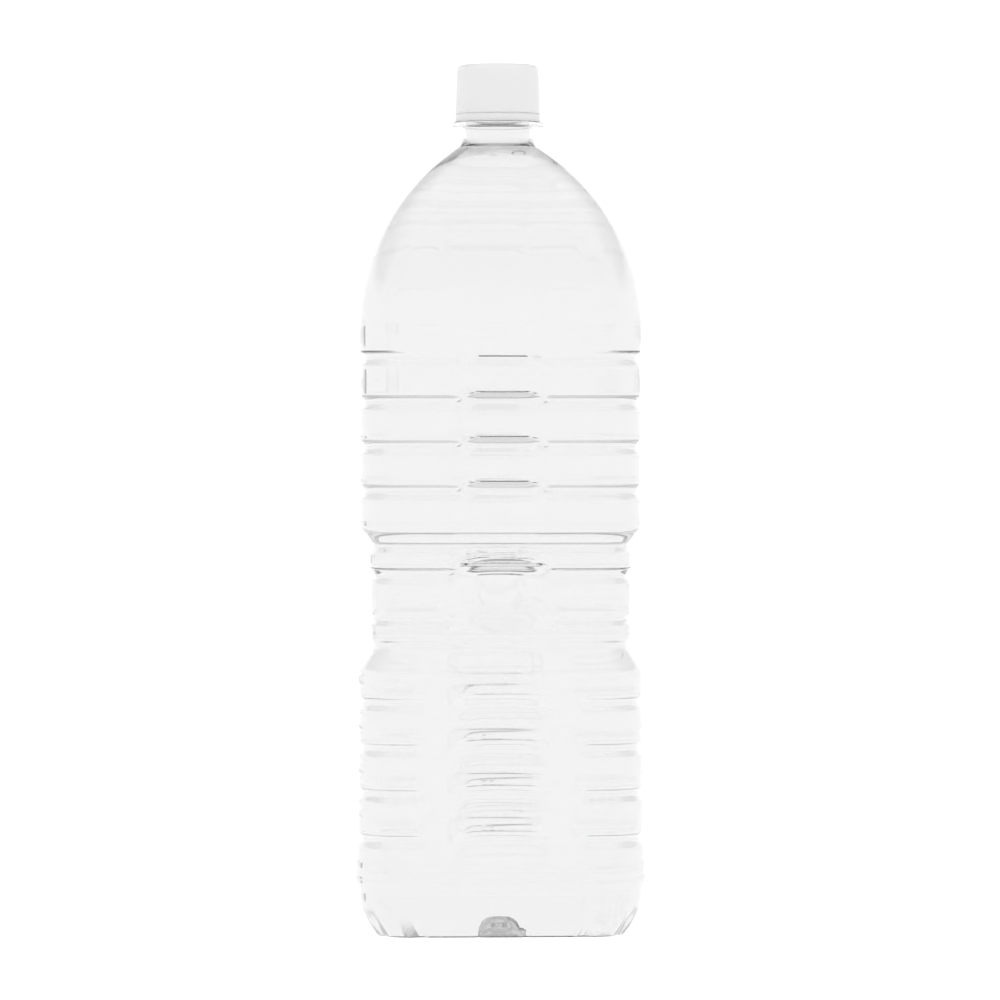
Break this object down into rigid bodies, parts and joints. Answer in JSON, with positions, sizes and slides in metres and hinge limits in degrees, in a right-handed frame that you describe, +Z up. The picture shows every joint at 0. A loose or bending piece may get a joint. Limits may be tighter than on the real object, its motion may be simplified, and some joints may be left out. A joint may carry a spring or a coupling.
{
  "type": "water bottle",
  "caption": "Full clear bottle with a rounded-rectangle ribbed body, pinched waist with grip scoops, domed shoulder, and a white screw cap over a tamper band.",
  "frame": {"origin": "middle of the foot, on the surface the bottle stands on", "axes": "+Z up along the neck, X across the wide front, Y through the depth, front at -Y"},
  "size_m": [0.1056, 0.0896, 0.3144],
  "materials": {
    "clear_pet": "clear blow-moulded PET, smooth and glossy",
    "water": "clear still water",
    "white_polyethylene": "injection-moulded white polyethylene, satin"
  },
  "bodies": {
    "root": {"bottle": "clear_pet", "water": "water", "cap": "white_polyethylene", "tamper_band": "white_polyethylene"}
  },
  "joints": []
}
